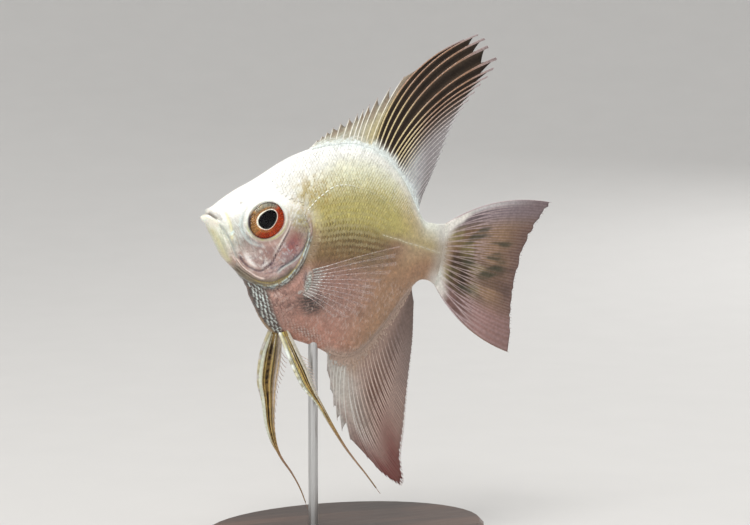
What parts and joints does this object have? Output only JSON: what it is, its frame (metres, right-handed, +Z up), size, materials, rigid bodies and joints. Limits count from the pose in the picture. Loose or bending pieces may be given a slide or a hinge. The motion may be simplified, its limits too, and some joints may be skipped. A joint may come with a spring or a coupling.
{
  "type": "freshwater angelfish display model",
  "caption": "Young pearl-white freshwater angelfish, life size, nose slightly up with fins spread, held over an oval base by one thin rod.",
  "frame": {"origin": "centre of the bounding box at the underside of the base, on the floor", "axes": "+Z up, +Y to the fish's right, -X the way the fish faces; its nose points 11 degrees above -X"},
  "size_m": [0.0718, 0.04, 0.0962],
  "materials": {
    "pearl_skin": "wet pearly scales, white over the back, olive-gold on the flank, pinkish on the belly",
    "silver_gill": "silvery skin with a pink flush",
    "eye": "red iris and black pupil under a clear cornea",
    "fin_ray": "translucent membrane with pale rays and dark streaks",
    "clear_fin": "nearly clear membrane with whitish rays",
    "pelvic_ray": "gold rays with brown-black streaks behind a white spine",
    "steel": "satin",
    "dark_wood": "satin lacquer"
  },
  "bodies": {
    "root": {"head": "pearl_skin", "lower_jaw": "pearl_skin", "trunk": "pearl_skin", "tail_stalk": "pearl_skin", "gill_cover_left": "silver_gill", "gill_cover_right": "silver_gill", "eye_left": "eye", "eye_right": "eye", "dorsal_fin": "fin_ray", "anal_fin": "fin_ray", "tail_fin": "fin_ray", "pectoral_fin_left": "clear_fin", "pectoral_fin_right": "clear_fin", "pelvic_fin_left": "pelvic_ray", "pelvic_fin_right": "pelvic_ray", "stand_rod": "steel", "stand_base": "dark_wood"}
  },
  "joints": []
}
